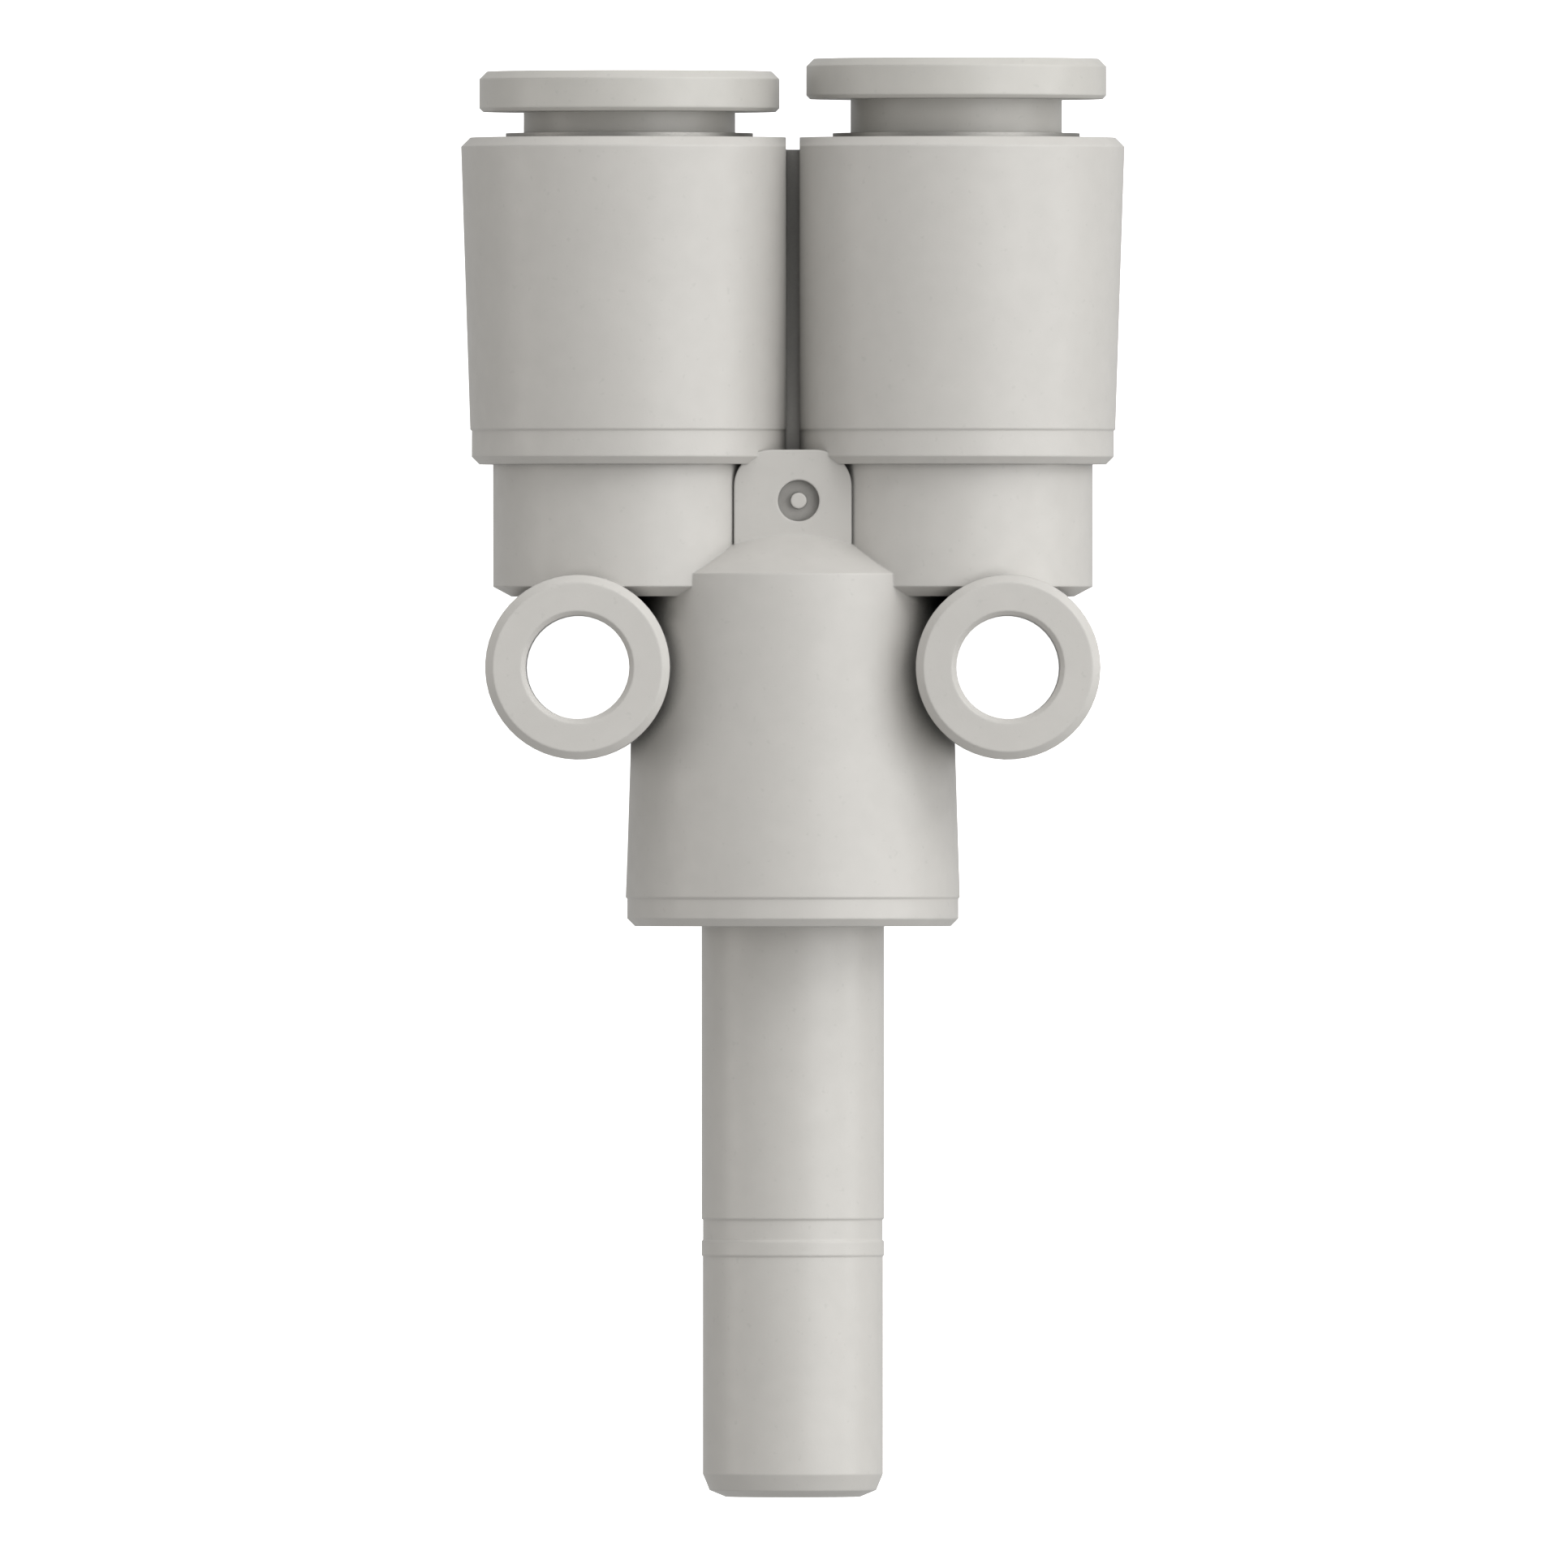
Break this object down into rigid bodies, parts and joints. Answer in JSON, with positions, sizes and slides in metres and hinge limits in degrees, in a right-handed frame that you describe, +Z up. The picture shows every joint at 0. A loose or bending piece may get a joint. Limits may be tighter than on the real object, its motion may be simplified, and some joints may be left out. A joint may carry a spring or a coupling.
{
  "type": "plug-in y tube fitting",
  "caption": "Plug-in Y fitting for pneumatic tube: a plug stem branches into side-by-side push-to-connect ports with release buttons, with mounting eyelets beside the barrel.",
  "frame": {"origin": "centre of the stem's root, where the stem leaves the end face of its barrel", "axes": "+Y runs from the stem towards the ports, +X across the pair of ports, +Z up from the surface that the fitting lies on, along the eyelet holes"},
  "size_m": [0.0218, 0.0473, 0.011],
  "materials": {
    "body_resin": "light warm grey moulded resin, satin with a fine moulding texture",
    "stem_resin": "light warm grey moulded resin, a little smoother than the body",
    "button_resin": "light grey acetal, satin",
    "guide_steel": "turned stainless steel",
    "chuck_steel": "pressed spring steel",
    "backing_resin": "natural acetal",
    "seal_rubber": "black nitrile rubber"
  },
  "bodies": {
    "fitting": {"fitting_body": "body_resin", "plug_stem": "stem_resin", "stem_o_ring": "seal_rubber", "seal_left": "seal_rubber", "backing_ring_left": "backing_resin", "chuck_left": "chuck_steel", "guide_ring_left": "guide_steel", "seal_right": "seal_rubber", "backing_ring_right": "backing_resin", "chuck_right": "chuck_steel", "guide_ring_right": "guide_steel"},
    "left_button": {"release_button_left": "button_resin"},
    "right_button": {"release_button_right": "button_resin"}
  },
  "joints": [
    {"name": "left_button_slide", "type": "slide", "parent": "fitting", "child": "left_button", "axis": [0, 1, 0], "range_m": [-0.00063, 0.00042]},
    {"name": "right_button_slide", "type": "slide", "parent": "fitting", "child": "right_button", "axis": [0, 1, 0], "range_m": [-0.00105, 0]}
  ]
}
